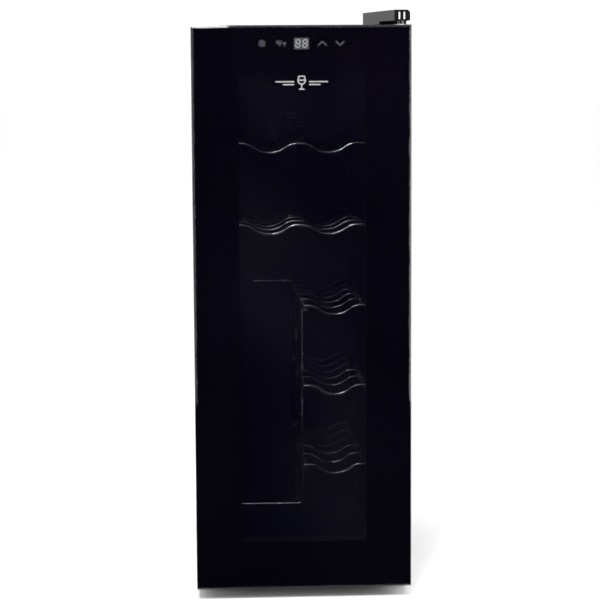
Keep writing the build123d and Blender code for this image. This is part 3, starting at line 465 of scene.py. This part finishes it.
def make_foot_pads():
    """Thin flared disc low down in each foot; the foot's own solid hides it."""
    thickness, flare, middle_z = 0.9, 0.6, 0.5
    for name, x, y, radius, body in (
        ("foot_pad_front_left", -110, -170, 11.5, "front_foot_left"),
        ("foot_pad_front_right", 110, -170, 11.5, "front_foot_right"),
        ("foot_pad_rear_left", -110, 170, 9.5, "cabinet"),
        ("foot_pad_rear_right", 110, 170, 9.5, "cabinet"),
    ):
        mesh = bpy.data.meshes.new(name)
        form = bmesh.new()
        bmesh.ops.create_cone(form, cap_ends=True, segments=40, radius1=radius * MM,
                              radius2=(radius + flare) * MM, depth=thickness * MM)
        bmesh.ops.translate(form, verts=form.verts[:], vec=(x * MM, y * MM, middle_z * MM))
        form.to_mesh(mesh)
        form.free()
        piece(name, mesh, gasket, body)


def make_gasket_folds():
    """Two lines round the door gasket; they lie inside its solid, so they don't show."""
    outer_half, outer_low, outer_high = 112, 44, 716
    line_radius, flatness = 0.9, 0.8
    for index, (inset, y) in enumerate(((4.0, -210.6), (7.6, -209.4))):
        x = outer_half - inset
        low = outer_low + inset
        high = outer_high - inset
        path = [(-x, low), (x, low), (x, high), (-x, high)]
        strokes(f"gasket_fold_{index + 1}", [(path, True)], line_radius, y, flatness, gasket, "door")


def soften_edges():
    """Small rounded edges on the plain CAD blocks that catch light."""
    for node, width in (
        ("left_side_panel", 0.2),
        ("right_side_panel", 0.2),
        ("top_panel", 0.2),
        ("door_stile_left", 0.5),
        ("door_stile_right", 0.4),
        ("hinge_cover", 0.35),
        ("cold_cover", 0.2),
        ("upper_hinge_bracket", 0.3),
        ("lower_hinge_bracket", 0.3),
    ):
        bevel = frame["nodes"][node].modifiers.new("soft_edge", "BEVEL")
        bevel.width = width * MM
        bevel.segments = 2
        bevel.limit_method = "ANGLE"
        bevel.angle_limit = radians(40)
        bevel.use_clamp_overlap = True


# painted highlight: near-white colour that stands in for the bright light seen in the hinge nose slits
rib_painted_glint = surface("rib_painted_glint", (0.72, 0.73, 0.75), (0.82, 0.83, 0.85), (0.2, 0.3), 1500, 0,
                       metallic=0.3)
nose_black = surface("nose_black", (0.004, 0.004, 0.005), (0.006, 0.006, 0.007), (0.4, 0.5), 900, 0)
# painted shade for the screw cross recesses; the same dark colour prints the rating lines
recess_shade_and_print = surface("recess_shade_and_print", (0.010, 0.010, 0.011), (0.02, 0.02, 0.021), (0.5, 0.6), 900, 0)
plate_silver = surface("plate_silver", (0.42, 0.43, 0.44), (0.52, 0.53, 0.54), (0.35, 0.45), 900, 0,
                       metallic=0.5)

make_snowflake()
make_lamp_icon()
make_chevrons()
make_digits()
make_wineglass_mark()
make_hinge_details()
make_back_details()
make_light_chips()
make_foot_pads()
make_gasket_folds()
soften_edges()


# ------------------------------------------------------------------ floor and light
def stage_mesh(name, points, faces, material):
    mesh = bpy.data.meshes.new(name)
    mesh.from_pydata(points, [], faces)
    obj = bpy.data.objects.new(name, mesh)
    scene.collection.objects.link(obj)
    obj.data.materials.append(material)
    return obj


FLOOR_HALF = 40.0
STAGE_GRAIN = 60
FLAG_RADIUS = 2.2
FLAG_HEIGHT = 3.0
FLAG_SPAN = 200            # degrees, centred on the front
FLAG_COUNT = 40
RUG_BACK = -0.30
RUG_HEIGHT = 0.002
WORLD_STRENGTH = 1.05


def make_floor():
    corners = [
        (-FLOOR_HALF, -FLOOR_HALF, 0),
        (FLOOR_HALF, -FLOOR_HALF, 0),
        (FLOOR_HALF, FLOOR_HALF, 0),
        (-FLOOR_HALF, FLOOR_HALF, 0),
    ]
    pale = surface("floor", (0.94, 0.94, 0.94), (0.96, 0.96, 0.96), (0.8, 0.9), STAGE_GRAIN, 0, specular=0.1)
    stage_mesh("floor", corners, [(0, 1, 2, 3)], pale)


def make_flags():
    """Black studio cloth round the front, seen only in reflections."""
    cloth = surface("flag_cloth", (0.0, 0.0, 0.0), (0.001, 0.001, 0.001), (0.9, 1.0), STAGE_GRAIN, 0,
                    specular=0.0)
    turns = [radians(FLAG_SPAN * (i / FLAG_COUNT - 0.5)) for i in range(FLAG_COUNT + 1)]
    rim = [(FLAG_RADIUS * sin(turn), -FLAG_RADIUS * cos(turn)) for turn in turns]
    points = [(x, y, 0) for x, y in rim] + [(x, y, FLAG_HEIGHT) for x, y in rim]
    faces = [(i, i + 1, i + FLAG_COUNT + 2, i + FLAG_COUNT + 1) for i in range(FLAG_COUNT)]
    wall = stage_mesh("flag_wall", points, faces, cloth)
    ground = [(x, min(y, RUG_BACK), RUG_HEIGHT) for x, y in rim]
    rug = stage_mesh("flag_rug", ground, [tuple(range(len(ground)))], cloth)
    for flag in (wall, rug):
        flag.visible_camera = False
        flag.visible_diffuse = False
        flag.visible_shadow = False
        flag.visible_transmission = False


def area_light(name, place, target, size, power):
    data = bpy.data.lights.new(name, "AREA")
    data.shape = "RECTANGLE"
    data.size, data.size_y = size
    data.energy = power
    light = bpy.data.objects.new(name, data)
    scene.collection.objects.link(light)
    light.location = place
    light.rotation_mode = "QUATERNION"
    light.rotation_quaternion = (Vector(target) - Vector(place)).to_track_quat("-Z", "Y")
    return light


def make_light():
    world = bpy.data.worlds.new("studio")
    world.use_nodes = True
    background = world.node_tree.nodes["Background"]
    background.inputs["Color"].default_value = (1, 1, 1, 1)
    background.inputs["Strength"].default_value = WORLD_STRENGTH
    scene.world = world
    area_light("right_strip", place=(1.2, -1.31, 0.75), target=(0.14, -0.25, 0.75),
               size=(0.09, 1.5), power=5)
    area_light("left_strip", place=(-1.08, -1.42, 0.75), target=(-0.14, -0.25, 0.75),
               size=(0.07, 1.5), power=1.6)
    area_light("top_strip", place=(0.08, -1.47, 1.77), target=(0, -0.25, 0.74),
               size=(1.6, 0.12), power=2.0)
    area_light("key", place=(-0.25, -1.2, 1.55), target=(0.02, -0.2, 0.4),
               size=(0.35, 0.25), power=20)
    floor_fill = area_light("floor_fill", place=(0, -2.2, 2.4), target=(0, -0.6, 0),
                            size=(1.5, 0.8), power=60)
    floor_fill.visible_glossy = False


make_floor()
make_flags()
make_light()
scene.view_settings.view_transform = "Standard"
